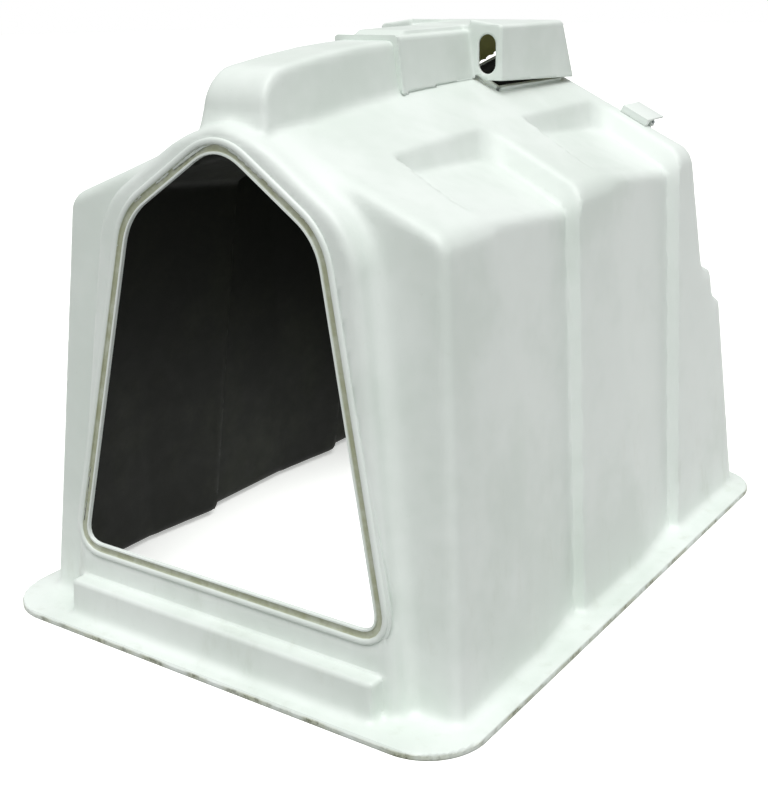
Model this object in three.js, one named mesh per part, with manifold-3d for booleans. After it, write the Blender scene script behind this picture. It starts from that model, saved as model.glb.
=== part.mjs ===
// Calf hutch: a thermoformed plastic shelter with a raised door frame, a ridge spine,
// a sliding ridge vent cap and a bedding door in the rear wall.
// Millimetres, +Z up, the doorway faces -Y. Depth (y) is measured from the front edge
// of the ground flange, and the finished group is moved back by half its length.
import * as THREE from 'three';
import { mergeVertices } from 'three/addons/utils/BufferGeometryUtils.js';
import Module from 'manifold-3d';

const wasm = await Module();
wasm.setup();

// ---- driving dimensions -------------------------------------------------------------

const SHEET = 6; // thickness of the formed sheet
const CLEAR = 0.4; // gap left between pieces that touch
const FAR = 900; // past the outside of the shell, for cutting tools

const FLANGE = { width: 1220, length: 1650, corner: 130, lip: 14 };

const WALL = {
  foot: 557, // half width at the ground
  lean: 0.088, // how far the side walls lean in, per mm of height
  front: { y: 122, lean: 0.09 },
  round: 42, // radius along the eaves
  edge: 26, // radius round the front and rear edges
};

const ROOF = {
  front: 215, // where the roof starts
  rear: 1345,
  ridge: 1180, // height of the ridge at the rear
  ridgeDrop: 70, // how much lower it is at the front
  eave: 919,
  eaveRise: 0.019, // rise of the eaves per mm of depth
};

// The rear wall steps out twice on its way down: each tier ends in a sloping shelf.
const TIERS = [
  { y: 1504, lean: -0.16, top: null },
  { y: 1533, lean: -0.117, top: 641, topFall: 0.3 },
  { y: 1580, lean: -0.12, top: 556, topFall: 0.4 },
];

// Two bays are pressed into each side and run over the eaves on to the roof.
const BAYS = [
  { crease: 446, rib: 646 },
  { crease: 962, rib: 1174 },
];
const BAY = {
  creaseLean: -0.09, // the front crease leans forward with height
  ribLean: 0.075, // and the rib leans back
  start: 4, // depth at the crease, on the side wall
  roofStart: 13,
  foot: 28, // depth at the rib, on the ground
  eave: 42, // depth at the rib, at the eaves
  roof: 54, // depth at the rib, on the roof
  ribSlope: 0.6, // how far the rib wall runs back, per mm of depth
  inner: 236, // half width between the roof pockets
  draft: 0.34,
};

const FRAME = {
  y: 78,
  lean: 0.071,
  foot: 450, // half width at the ground
  sideLean: 0.155,
  shoulder: { x: 319, z: 931 },
  crown: { x: 104, z: 1066 },
  top: 1098,
  edge: 14,
};
const DOORWAY = {
  sill: 181,
  sillHalf: 394,
  shoulder: { x: 237, z: 908 },
  top: 1038,
  corner: 46,
};
const BEAD = { offset: 11, width: 13, height: 5 };
const LEDGE = { half: 408, front: 40, height: 97, round: 14, back: 150 };

const SPINE = {
  foot: 86, // half width on the roof
  top: 75,
  front: 207,
  rear: 935,
  round: 34,
  noseLength: 80,
  noseFoot: 1124,
  noseTop: 1192,
  crown: 1230,
};

const VENT = { half: 138, front: 972, rear: 1262, curb: 10, curbHeight: 12 };
const CAP = {
  front: 645,
  hood: 943, // where the saddle widens into the two wings
  rear: 1302,
  rearLean: -0.47,
  sheet: 5,
  middle: 1250,
  wingInner: 82,
  wingOuter: 166,
  wingTop: 1262,
  wingEaves: 1250,
  wingFall: 0.045, // fall of the wing tops per mm of depth
  skirt: 1128,
  skirtFall: 0.045,
  slot: { x: 127, z: 1186, width: 38, height: 86 },
  panel: { half: 62, top: 1248.7, front: 679, slope: 26 },
};

const REAR_WALL = TIERS[0];
const REAR_DOOR = {
  half: 330,
  top: -24, // distances below the hinge line, measured along the rear wall
  bottom: -306,
  gap: 2, // between the wall and the door's rim
  depth: 28,
  sheet: 5,
  corner: 36,
  panel: { inset: 48, rise: 6 },
  opening: { half: 290, top: -62, bottom: -280, corner: 40 },
};
const HINGE = { y: 1390, z: 1000, x: 330, pin: 8, lug: 22, ear: 5, earGap: 1 };
const BRACKET = { half: 38, front: 1305, length: 94, foot: 16, rise: 13, thickness: 5 };
const LATCH = { x: 190, drop: -325, post: 16, arm: 58, width: 24, thickness: 5, pivot: 8 };

// ---- solids -------------------------------------------------------------------------

/** Turns a closed three.js geometry into a manifold solid. */
function solid(geometry) {
  const bare = geometry.clone();
  bare.deleteAttribute('normal');
  bare.deleteAttribute('uv');
  const welded = mergeVertices(bare, 1e-4);
  return new wasm.Manifold(new wasm.Mesh({
    numProp: 3,
    vertProperties: new Float32Array(welded.attributes.position.array),
    triVerts: new Uint32Array(welded.index.array),
  }));
}

/** Turns a manifold solid back into a three.js geometry with flat-shaded normals. */
function geometryOf(body) {
  const mesh = body.getMesh();
  const indexed = new THREE.BufferGeometry();
  indexed.setAttribute('position', new THREE.BufferAttribute(mesh.vertProperties, 3));
  indexed.setIndex(new THREE.BufferAttribute(mesh.triVerts, 1));
  const geometry = indexed.toNonIndexed();
  geometry.computeVertexNormals();
  return geometry;
}

function join(first, ...others) {
  return others.reduce((sum, other) => sum.add(other), first);
}

function cut(first, ...others) {
  return others.reduce((rest, other) => rest.subtract(other), first);
}

/** A box between two corners. */
function block(low, high) {
  const size = high.map((value, axis) => value - low[axis]);
  const middle = high.map((value, axis) => (value + low[axis]) / 2);
  return solid(new THREE.BoxGeometry(...size).translate(...middle));
}

/** A round bar from z = low to z = high. */
function bar(radius, low, high, sides = 24) {
  const geometry = new THREE.CylinderGeometry(radius, radius, high - low, sides);
  return geometry.rotateX(Math.PI / 2).translate(0, 0, (low + high) / 2);
}

/** Extrudes a shape drawn in x and z along y. */
function extrudeAlongY(shape, front, rear, curveSegments = 6) {
  const geometry = new THREE.ExtrudeGeometry(shape, {
    depth: rear - front,
    bevelEnabled: false,
    curveSegments,
  });
  return solid(geometry.rotateX(Math.PI / 2).translate(0, rear, 0));
}

/** Extrudes a shape drawn in y and z along x. */
function extrudeAlongX(shape, left, right, curveSegments = 6) {
  const geometry = new THREE.ExtrudeGeometry(shape, {
    depth: right - left,
    bevelEnabled: false,
    curveSegments,
  });
  const turn = new THREE.Matrix4().makeBasis(
    new THREE.Vector3(0, 1, 0),
    new THREE.Vector3(0, 0, 1),
    new THREE.Vector3(1, 0, 0),
  );
  return solid(geometry.applyMatrix4(turn).translate(left, 0, 0));
}

/**
 * Skins a row of outlines, each drawn in x and z with the same number of points.
 * A station is { points, y, lean }: its outline stands at y and leans back by lean per
 * mm of height. Stations run from the front to the rear.
 */
function loft(stations) {
  const rows = [...stations].reverse();
  const first = rows[0].points;
  const geometry = new THREE.ExtrudeGeometry(new THREE.Shape(first), {
    steps: rows.length - 1,
    depth: rows.length - 1,
    bevelEnabled: false,
  });
  const position = geometry.attributes.position;
  for (let i = 0; i < position.count; i += 1) {
    const row = rows[Math.round(position.getZ(i))];
    const point = row.points[nearestIndex(first, position.getX(i), position.getY(i))];
    position.setXYZ(i, point.x, row.y + (row.lean ?? 0) * point.y, point.y);
  }
  return solid(geometry);
}

function nearestIndex(points, x, y) {
  const gaps = points.map((point) => Math.hypot(point.x - x, point.y - y));
  return gaps.indexOf(Math.min(...gaps));
}

/** The stations of an edge rounded by a quarter circle, as { y, inset } pairs. */
function roundedEdge(radius, steps = 3) {
  return Array.from({ length: steps + 1 }, (_, step) => {
    const angle = (step / steps) * (Math.PI / 2);
    return { y: radius * (1 - Math.cos(angle)), inset: radius * (1 - Math.sin(angle)) };
  });
}

/** Mirrors a half outline, drawn from the bottom right up to the middle. */
function mirrored(half) {
  const left = half
    .filter((point) => point.x > 1e-6)
    .reverse()
    .map((point) => new THREE.Vector2(-point.x, point.y));
  return [...half, ...left];
}

/** Points of a corner rounded between two neighbouring points of an outline. */
function roundedCorner(before, corner, after, reach, steps = 4) {
  const start = corner.clone().add(before.clone().sub(corner).setLength(reach));
  const end = corner.clone().add(after.clone().sub(corner).setLength(reach));
  return new THREE.QuadraticBezierCurve(start, corner, end).getPoints(steps);
}

function roundedRectangle(left, bottom, right, top, radius) {
  const shape = new THREE.Shape();
  shape.absarc(right - radius, bottom + radius, radius, -Math.PI / 2, 0);
  shape.absarc(right - radius, top - radius, radius, 0, Math.PI / 2);
  shape.absarc(left + radius, top - radius, radius, Math.PI / 2, Math.PI);
  shape.absarc(left + radius, bottom + radius, radius, Math.PI, Math.PI * 1.5);
  shape.closePath();
  return shape;
}

// ---- the shell's outlines -----------------------------------------------------------

function ridgeAt(y) {
  const along = THREE.MathUtils.clamp((y - ROOF.front) / (ROOF.rear - ROOF.front), 0, 1);
  return ROOF.ridge - ROOF.ridgeDrop * (1 - along) ** 3;
}

/** Slope of the roof, as fall per mm of x, at depth y. */
function roofSlopeAt(y) {
  const eave = ROOF.eave + ROOF.eaveRise * y;
  return (ridgeAt(y) - eave) / (WALL.foot - WALL.lean * eave);
}

function roofHeightAt(x, y) {
  return ridgeAt(y) - roofSlopeAt(y) * Math.abs(x);
}

/** The gabled cross-section at depth y, moved in by inset, standing on z = base. */
function gable(y, inset, base, change = { foot: 0, lean: 0, roof: 0 }) {
  const slope = roofSlopeAt(y);
  const lean = WALL.lean + change.lean;
  const foot = WALL.foot - change.foot - inset * Math.hypot(1, lean);
  const ridge = ridgeAt(y) - change.roof - inset * Math.hypot(1, slope);
  const cornerX = (foot - lean * ridge) / (1 - lean * slope);
  const corner = new THREE.Vector2(cornerX, ridge - slope * cornerX);
  const bottom = new THREE.Vector2(foot - lean * base, base);
  const top = new THREE.Vector2(0, ridge);
  const reach = Math.max(WALL.round - inset, 4) * 0.6;
  return mirrored([bottom, ...roundedCorner(bottom, corner, top, reach), top]);
}

/** One tier of the body, from the front wall to its own rear wall. */
function tierBody(tier, inset, base) {
  const edge = Math.max(WALL.edge - inset, 6);
  const frontEdge = roundedEdge(edge).map((step) => ({
    points: gable(ROOF.front, inset + step.inset, base),
    y: WALL.front.y + inset + step.y,
    lean: WALL.front.lean,
  }));
  const middle = [430, 643, 900, 1150].map((y) => ({ points: gable(y, inset, base), y }));
  const rearEdge = roundedEdge(edge).reverse().map((step) => ({
    points: gable(ROOF.rear, inset + step.inset, base),
    y: tier.y - inset - step.y,
    lean: tier.lean,
  }));
  const body = loft([...frontEdge, ...middle, ...rearEdge]);
  if (tier.top === null) {
    return body;
  }
  return cut(body, shelfCutter(tier, inset));
}

/** Everything above a tier's sloping shelf. */
function shelfCutter(tier, inset) {
  const rear = tier.y + tier.lean * tier.top;
  const height = (y) => tier.top - inset - tier.topFall * (y - rear + 30);
  const shape = new THREE.Shape([
    new THREE.Vector2(-FAR, height(-FAR)),
    new THREE.Vector2(2 * FAR, height(2 * FAR)),
    new THREE.Vector2(2 * FAR, 2 * FAR),
    new THREE.Vector2(-FAR, 2 * FAR),
  ]);
  return extrudeAlongX(shape, -FAR, FAR);
}

/** The tool that presses one bay into one side; grow thickens it for the inside. */
function bayTool(bay, side, grow) {
  const wallX = BAY.inner - grow;
  const top = 1300;
  const low = 880;
  const innerX = (z) => wallX + (roofHeightAt(BAY.inner, bay.rib) - z) * BAY.draft;
  const outline = [
    [FAR, -20], [FAR, top], [innerX(top), top], [innerX(low), low], [innerX(low), -20],
  ].map(([x, z]) => new THREE.Vector2(side * x, z));
  const slab = loft([
    { points: outline, y: bay.crease - grow, lean: BAY.creaseLean },
    { points: outline, y: bay.rib + BAY.ribSlope * BAY.eave + 12 + grow, lean: BAY.ribLean },
  ]);
  return cut(slab, bayFloor(bay, grow));
}

/** The body that is left standing inside a bay. */
function bayFloor(bay, grow) {
  const length = bay.rib - bay.crease;
  const depthAt = (share) => ({
    foot: THREE.MathUtils.lerp(BAY.start, BAY.foot, share),
    lean: share * (BAY.eave - BAY.foot) / ROOF.eave,
    roof: THREE.MathUtils.lerp(BAY.roofStart, BAY.roof, share),
  });
  const lead = 0.1; // the floor starts this share of its length before the crease
  const back = bay.rib + grow;
  const lean = BAY.ribLean;
  const stations = [
    { share: -lead, y: bay.crease - lead * length, lean: BAY.creaseLean },
    { share: 1, y: back, lean },
    { share: 0, y: back + BAY.ribSlope * (BAY.eave - BAY.start), lean },
    { share: -0.5, y: back + BAY.ribSlope * BAY.eave + 24, lean },
  ];
  return loft(stations.map((station) => ({
    points: gable(bay.rib, grow, -30, depthAt(station.share)),
    y: station.y,
    lean: station.lean,
  })));
}

/** Outline of the raised frame round the doorway, moved in by inset. */
function frameOutline(inset, base) {
  const bottom = new THREE.Vector2(FRAME.foot - FRAME.sideLean * base - inset, base);
  const shoulder = new THREE.Vector2(FRAME.shoulder.x - inset, FRAME.shoulder.z - inset);
  const crown = new THREE.Vector2(FRAME.crown.x, FRAME.crown.z - inset);
  const top = new THREE.Vector2(0, FRAME.top - inset);
  const arch = new THREE.QuadraticBezierCurve(
    crown,
    new THREE.Vector2(FRAME.crown.x / 2, FRAME.top - inset - 2),
    top,
  );
  return mirrored([
    bottom,
    ...roundedCorner(bottom, shoulder, crown, 90, 5),
    ...arch.getPoints(4),
  ]);
}

function frameBoss(inset, base) {
  const edge = roundedEdge(Math.max(FRAME.edge - inset, 4)).map((step) => ({
    points: frameOutline(inset + step.inset + 8, base),
    y: FRAME.y + inset + step.y,
    lean: FRAME.lean,
  }));
  return loft([...edge, { points: frameOutline(inset, base), y: 185 }, {
    points: frameOutline(inset, base), y: 260,
  }]);
}

/** Outline of the doorway, moved out by grow. */
function doorwayOutline(grow) {
  const bottom = new THREE.Vector2(DOORWAY.sillHalf + grow, DOORWAY.sill - grow);
  const shoulder = new THREE.Vector2(DOORWAY.shoulder.x + grow, DOORWAY.shoulder.z + grow * 0.6);
  const top = new THREE.Vector2(0, DOORWAY.top + 30 + grow);
  const middle = new THREE.Vector2(0, DOORWAY.sill - grow);
  const left = new THREE.Vector2(-shoulder.x, shoulder.y);
  const corner = roundedCorner(middle, bottom, shoulder, DOORWAY.corner + grow);
  const side = roundedCorner(bottom, shoulder, top, 56 + grow);
  const apex = roundedCorner(shoulder, top, left, 70 + grow, 8).slice(0, 5);
  return mirrored([...corner, ...side, ...apex]);
}

function doorwayCutter() {
  const points = doorwayOutline(0);
  return loft([{ points, y: -50 }, { points, y: 330 }]);
}

/** The bead that stands round the doorway. */
function doorwayBead() {
  const outer = doorwayOutline(BEAD.offset + BEAD.width);
  const crest = doorwayOutline(BEAD.offset + BEAD.width - BEAD.height);
  const inner = doorwayOutline(BEAD.offset);
  const { lean } = FRAME;
  const raised = loft([
    { points: crest, y: FRAME.y - BEAD.height, lean },
    { points: outer, y: FRAME.y, lean },
    { points: outer, y: FRAME.y + SHEET / 2, lean },
  ]);
  const hole = loft([
    { points: inner, y: FRAME.y - 4 * BEAD.height, lean },
    { points: inner, y: FRAME.y + SHEET, lean },
  ]);
  return cut(raised, hole);
}

/** The ledge across the foot of the doorway. */
function sillLedge(inset, base) {
  const front = LEDGE.front + inset;
  const top = LEDGE.height - inset;
  const shape = new THREE.Shape();
  shape.moveTo(front, base);
  shape.lineTo(LEDGE.back, base);
  shape.lineTo(LEDGE.back, top + 3);
  shape.lineTo(front + 6 + LEDGE.round, top);
  shape.quadraticCurveTo(front + 6, top, front + 5, top - LEDGE.round);
  shape.closePath();
  return extrudeAlongX(shape, -LEDGE.half + inset, LEDGE.half - inset);
}

/** Half-round-topped cross-section of the spine, grown by grow, with its crown at top. */
function spineOutline(top, grow) {
  const base = 1000;
  const foot = SPINE.foot + grow;
  const shoulder = SPINE.top + grow;
  const side = new THREE.Vector2(shoulder, top + grow - SPINE.round);
  const curve = new THREE.CubicBezierCurve(
    side,
    new THREE.Vector2(shoulder - 1, top + grow - 10),
    new THREE.Vector2(shoulder - 18, top + grow - 2),
    new THREE.Vector2(0, top + grow),
  );
  const low = new THREE.Vector2(foot + (foot - shoulder) * 1.2, base);
  return mirrored([low, ...curve.getPoints(7)]);
}

/** Height of the spine's crown: a steep nose, then a long shallow rise. */
function spineCrownAt(y) {
  const nose = THREE.MathUtils.clamp((y - SPINE.front) / SPINE.noseLength, 0, 1);
  const rise = THREE.MathUtils.clamp((y - SPINE.front) / (CAP.front - SPINE.front), 0, 1);
  return SPINE.noseFoot
    + (SPINE.noseTop - SPINE.noseFoot) * Math.sqrt(1 - (1 - nose) ** 2)
    + (SPINE.crown - SPINE.noseTop) * Math.sin((rise * Math.PI) / 2);
}

function spineBody(inset) {
  const depths = [0, 3, 10, 22, 40, 60, 80, 150, 250, 430];
  const rows = depths.map((depth) => ({
    points: spineOutline(spineCrownAt(SPINE.front + depth), -inset),
    y: SPINE.front + depth + (depth === 0 ? inset : inset / 2),
  }));
  rows.push({ points: spineOutline(SPINE.crown, -inset), y: SPINE.rear - inset });
  return loft(rows);
}

/** The flange's plan, moved in by inset. */
function flangePlate(inset, low, high) {
  const half = FLANGE.width / 2 - inset;
  const shape = roundedRectangle(
    -half, inset, half, FLANGE.length - inset, FLANGE.corner - inset,
  );
  const geometry = new THREE.ExtrudeGeometry(shape, {
    depth: high - low,
    bevelEnabled: false,
    curveSegments: 8,
  });
  return solid(geometry.translate(0, 0, low));
}

/** The whole outside or inside of the hutch, without flange and openings. */
function hutchForm(inset) {
  const base = inset > 0 ? -10 : 0;
  const tiers = TIERS.map((tier) => tierBody(tier, inset, base));
  const pressed = BAYS.flatMap((bay) => [-1, 1].map((side) => bayTool(bay, side, inset)));
  return join(
    cut(join(...tiers), ...pressed),
    frameBoss(inset, base),
    sillLedge(inset, base),
    spineBody(inset),
  );
}

/** A band over the roof, used for the curb and for the cap's underside. */
function overRoof(height, front, rear) {
  const stations = [front, (front + rear) / 2, rear];
  return loft(stations.map((y) => ({ points: gable(y, -height, 700), y })));
}

function ventCutter(grow, low) {
  return block(
    [-VENT.half - grow, VENT.front - grow, low],
    [VENT.half + grow, VENT.rear + grow, 1400],
  );
}

function ventCurb() {
  const raised = overRoof(VENT.curbHeight, VENT.front - 40, VENT.rear + 40);
  return ventCutter(VENT.curb, 1060).intersect(raised);
}

/** Puts a solid built on the hinge line, with the rear wall upright, where it belongs. */
function onRearWall(geometry) {
  return geometry.rotateX(Math.atan(-REAR_WALL.lean)).translate(0, HINGE.y, HINGE.z);
}

/** Distance from the hinge line to the rear wall, square to the wall. */
function hingeStandOff() {
  const wallY = REAR_WALL.y + REAR_WALL.lean * HINGE.z;
  return (HINGE.y - wallY) / Math.hypot(1, REAR_WALL.lean);
}

function rearOpeningCutter() {
  const { half, top, bottom, corner } = REAR_DOOR.opening;
  const shape = roundedRectangle(-half, bottom, half, top, corner);
  const geometry = new THREE.ExtrudeGeometry(shape, {
    depth: 120,
    bevelEnabled: false,
    curveSegments: 6,
  });
  return solid(onRearWall(geometry.rotateX(Math.PI / 2).translate(0, 20, 0)));
}

function shellGeometry() {
  const outside = hutchForm(0);
  const inside = hutchForm(SHEET);
  const flange = cut(
    flangePlate(0, 0, FLANGE.lip),
    cut(flangePlate(SHEET, -1, FLANGE.lip - SHEET), outside),
  );
  const skin = join(flange, outside, doorwayBead(), ventCurb());
  const openings = [doorwayCutter(), ventCutter(0, 1000), rearOpeningCutter()];
  const posts = [-1, 1].map((side) => solid(latchHole(side)));
  const screws = [-1, 1].map((side) => solid(bracketHole(side)));
  return geometryOf(cut(skin, inside, ...openings, ...posts, ...screws));
}

// ---- ridge vent cap -----------------------------------------------------------------

function saddle(grow, front, rear) {
  const points = spineOutline(SPINE.crown, grow);
  return loft([{ points, y: front }, { points, y: rear }]);
}

/** Cross-section of the hood: a low middle between two higher wings. */
function hoodOutline(inset, fall) {
  const outer = CAP.wingOuter - inset;
  const lower = inset + fall;
  return mirrored([
    new THREE.Vector2(outer, 1000),
    new THREE.Vector2(outer, CAP.wingEaves - 13 - lower),
    new THREE.Vector2(outer - 8, CAP.wingEaves - lower),
    new THREE.Vector2(CAP.wingInner + 4 - inset / 2, CAP.wingTop - lower),
    new THREE.Vector2(CAP.wingInner - inset / 2, CAP.middle - inset),
    new THREE.Vector2(0, CAP.middle - inset),
  ]);
}

function hood(inset) {
  const top = CAP.rear + CAP.rearLean * (CAP.wingEaves - CAP.skirt);
  return loft([
    { points: hoodOutline(inset, 0), y: CAP.hood + inset },
    {
      points: hoodOutline(inset, CAP.wingFall * (top - CAP.hood)),
      y: CAP.rear - CAP.rearLean * CAP.skirt - inset,
      lean: CAP.rearLean,
    },
  ]);
}

/** Everything below the free edge of the hood. */
function underHood() {
  const skirt = (y) => CAP.skirt - CAP.skirtFall * (y - CAP.hood);
  const rear = CAP.rear + 100;
  const shape = new THREE.Shape([
    new THREE.Vector2(CAP.hood - 5, 900),
    new THREE.Vector2(rear, 900),
    new THREE.Vector2(rear, skirt(rear)),
    new THREE.Vector2(CAP.hood - 5, skirt(CAP.hood - 5)),
  ]);
  return join(
    overRoof(20, CAP.hood + CAP.sheet + 15, rear),
    extrudeAlongX(shape, SPINE.foot + 7, FAR),
    extrudeAlongX(shape, -FAR, -SPINE.foot - 7),
  );
}

function handSlots() {
  const { x, z, width, height } = CAP.slot;
  return [-1, 1].map((side) => {
    const middle = side * x;
    const shape = roundedRectangle(
      middle - width / 2, z - height / 2, middle + width / 2, z + height / 2, width / 2 - 0.01,
    );
    return extrudeAlongY(shape, CAP.hood - 20, CAP.hood + 25, 8);
  });
}

/** The raised panel along the top of the saddle, with its sloping front end. */
function saddlePanel() {
  const { half, top, front, slope } = CAP.panel;
  const outline = (height) => mirrored([
    new THREE.Vector2(half + 8, SPINE.crown - 12),
    new THREE.Vector2(half, height),
    new THREE.Vector2(0, height),
  ]);
  return loft([
    { points: outline(SPINE.crown - 2), y: front },
    { points: outline(top), y: front + slope },
    { points: outline(top), y: CAP.hood + CAP.sheet / 2 },
  ]);
}

function capGeometry() {
  const { sheet } = CAP;
  const outer = saddle(1 + sheet, CAP.front, CAP.hood + 2);
  const overhang = saddle(1 + sheet + 4, CAP.front, CAP.front + 8);
  const lip = cut(overhang, block([-FAR, 0, 0], [FAR, FAR * 2, SPINE.crown - 30]));
  const hollow = saddle(1, CAP.front - 20, CAP.hood + sheet + 2);
  const underSaddle = overRoof(2, CAP.front - 20, CAP.hood + sheet + 3);
  const shellOfHood = cut(hood(0), hood(sheet), underHood(), ...handSlots());
  const body = cut(join(outer, lip, saddlePanel(), shellOfHood), hollow, underSaddle);
  return geometryOf(body);
}

// ---- rear bedding door and its hardware ----------------------------------------------

/** A rounded panel in the door's own plane, between two distances from the hinge line. */
function doorPanel(inset, near, far) {
  const { half, top, bottom, corner } = REAR_DOOR;
  const shape = roundedRectangle(
    -half + inset, bottom + inset, half - inset, top - inset, Math.max(corner - inset, 20),
  );
  const geometry = new THREE.ExtrudeGeometry(shape, {
    depth: far - near,
    bevelEnabled: false,
    curveSegments: 6,
  });
  return geometry.rotateX(Math.PI / 2).translate(0, far, 0);
}

function rearDoorGeometry() {
  const wall = -hingeStandOff();
  const rim = wall + REAR_DOOR.gap;
  const face = rim + REAR_DOOR.depth;
  const pan = cut(
    solid(doorPanel(0, rim, face - 4)),
    solid(doorPanel(REAR_DOOR.sheet, rim - 10, face - 4 - REAR_DOOR.sheet)),
  );
  const top = solid(doorPanel(4, face - 4.5, face));
  const { inset, rise: height } = REAR_DOOR.panel;
  const panel = solid(doorPanel(inset, face - 0.5, face + height));
  const lugs = [-1, 1].map((side) => doorLug(side, face));
  const bores = [-1, 1].map((side) => solid(
    bar(HINGE.pin / 2 + 0.3, -HINGE.lug, HINGE.lug).rotateY(Math.PI / 2)
      .translate(side * HINGE.x, 0, 0),
  ));
  const body = cut(join(pan, top, panel, ...lugs), ...bores);
  return onRearWall(geometryOf(body));
}

/** The arm that carries the door on its hinge pin, drawn from the side. */
function doorLug(side, face) {
  const radius = 9;
  const shape = new THREE.Shape();
  shape.moveTo(face - 8, REAR_DOOR.top - 16);
  shape.lineTo(face, REAR_DOOR.top - 16);
  shape.lineTo(radius, -2);
  shape.absarc(0, 0, radius, -0.2, Math.PI);
  shape.closePath();
  const middle = side * HINGE.x;
  return extrudeAlongX(shape, middle - HINGE.lug / 2, middle + HINGE.lug / 2, 10);
}

/** Puts a piece drawn on a level roof at the hinge bracket's place on the sloping roof. */
function onRoof(geometry, side) {
  const y = BRACKET.front + BRACKET.foot / 2;
  const tilt = side * Math.atan(roofSlopeAt(y));
  return geometry.rotateY(tilt).translate(side * HINGE.x, y, roofHeightAt(HINGE.x, y));
}

function bracketGeometry(side) {
  const { half, length, foot, rise, thickness } = BRACKET;
  const plate = new THREE.BoxGeometry(2 * half, length, thickness)
    .translate(0, (length - foot) / 2, rise + thickness / 2);
  const heel = new THREE.BoxGeometry(2 * half, foot, rise + 1 - CLEAR)
    .translate(0, 0, CLEAR + (rise + 1 - CLEAR) / 2);
  const earX = HINGE.lug / 2 + HINGE.earGap + HINGE.ear / 2;
  const ears = [-1, 1].map((end) => {
    const x = side * HINGE.x + end * earX;
    const plateZ = roofHeightAt(x, BRACKET.front) + rise + 5;
    return block([x - HINGE.ear / 2, HINGE.y - 12, HINGE.z - 10],
      [x + HINGE.ear / 2, HINGE.y + 9, plateZ]);
  });
  const bore = solid(bar(HINGE.pin / 2, -FAR, FAR).rotateY(Math.PI / 2)
    .translate(0, HINGE.y, HINGE.z));
  const hole = solid(onRoof(bar(3, -40, rise), side));
  return geometryOf(cut(
    join(solid(onRoof(plate, side)), solid(onRoof(heel, side)), ...ears), bore, hole,
  ));
}

function bracketHole(side) {
  return onRoof(bar(3, -40, 10), side);
}

/** The screw that holds a bracket from inside the roof. */
function bracketScrewGeometry(side) {
  const profile = [[0, -12], [6, -12], [8, -9], [8, -6.8], [2.8, -6.8], [2.8, 6], [0, 6]];
  const lathe = new THREE.LatheGeometry(profile.map(([r, z]) => new THREE.Vector2(r, z)), 20);
  return onRoof(lathe.rotateX(Math.PI / 2), side);
}

function hingePinGeometry() {
  const reach = HINGE.lug / 2 + HINGE.earGap + HINGE.ear + 1;
  const radius = HINGE.pin / 2 - CLEAR / 2;
  const profile = [
    [0, -reach - 3], [radius + 2, -reach - 3], [radius + 3, -reach - 1.5],
    [radius + 3, -reach], [radius, -reach], [radius, reach + 3], [radius - 1, reach + 4],
    [0, reach + 4],
  ].map(([r, z]) => new THREE.Vector2(r, z));
  return new THREE.LatheGeometry(profile, 20).rotateZ(-Math.PI / 2);
}

/** Puts a piece drawn along z on the rear wall, at one of the two latches. */
function onLatch(geometry, side) {
  const upright = geometry.rotateX(-Math.PI / 2);
  return onRearWall(upright.translate(side * LATCH.x, -hingeStandOff(), LATCH.drop));
}

function latchHole(side) {
  return onLatch(bar(LATCH.pivot / 2, -3 * SHEET, SHEET), side);
}

/** Height of a latch post, which lifts the button past the door's raised panel. */
function latchHeight() {
  return REAR_DOOR.gap + REAR_DOOR.depth + REAR_DOOR.panel.rise + 1;
}

/** The stand-off that lifts a turn button clear of the door's raised panel. */
function latchPostGeometry(side) {
  const height = latchHeight() - CLEAR;
  const outer = solid(bar(LATCH.post / 2 + 3, CLEAR, height));
  return onLatch(geometryOf(cut(outer, solid(bar(LATCH.pivot / 2, -1, height + 1)))), side);
}

function latchButtonGeometry(side) {
  const shape = new THREE.Shape();
  const end = LATCH.width / 2;
  shape.absarc(0, 0, end, Math.PI, 0);
  shape.absarc(0, LATCH.arm - end, end, 0, Math.PI);
  shape.closePath();
  const geometry = new THREE.ExtrudeGeometry(shape, {
    depth: LATCH.thickness,
    bevelEnabled: true,
    bevelSize: 1,
    bevelThickness: 1,
    bevelSegments: 2,
    curveSegments: 10,
  }).translate(0, 0, latchHeight() + 1);
  const body = cut(solid(geometry), solid(bar(LATCH.pivot / 2, 0, FAR)));
  return onLatch(geometryOf(body).rotateZ(-side * Math.PI / 2), side);
}

/** The screw through button, post and wall, with a nut-like head inside. */
function latchScrewGeometry(side) {
  const outer = latchHeight() + LATCH.thickness + 2 + CLEAR;
  const shank = LATCH.pivot / 2 - CLEAR / 2;
  const profile = [
    [0, -SHEET - 6], [7, -SHEET - 6], [7, -SHEET - CLEAR], [shank, -SHEET - CLEAR],
    [shank, outer], [8, outer], [8, outer + 2], [5, outer + 5], [0, outer + 5],
  ].map(([r, z]) => new THREE.Vector2(r, z));
  return onLatch(new THREE.LatheGeometry(profile, 20).rotateX(Math.PI / 2), side);
}

// ---- assembly -----------------------------------------------------------------------

const plastic = { color: 0xe6ece6, roughness: 0.45, metalness: 0 };
const darkPlastic = { color: 0x3c403a, roughness: 0.6, metalness: 0 };
const steel = { color: 0xb4b8ba, roughness: 0.35, metalness: 0.9 };

function piece(name, geometry, finish) {
  const mesh = new THREE.Mesh(geometry, new THREE.MeshStandardMaterial(finish));
  mesh.name = name;
  return mesh;
}

const hutch = new THREE.Group();
hutch.position.y = -FLANGE.length / 2;

hutch.add(piece('shell', shellGeometry(), plastic));
hutch.add(piece('ridge_vent_cap', capGeometry(), plastic));
hutch.add(piece('rear_door', rearDoorGeometry(), plastic));

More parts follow.
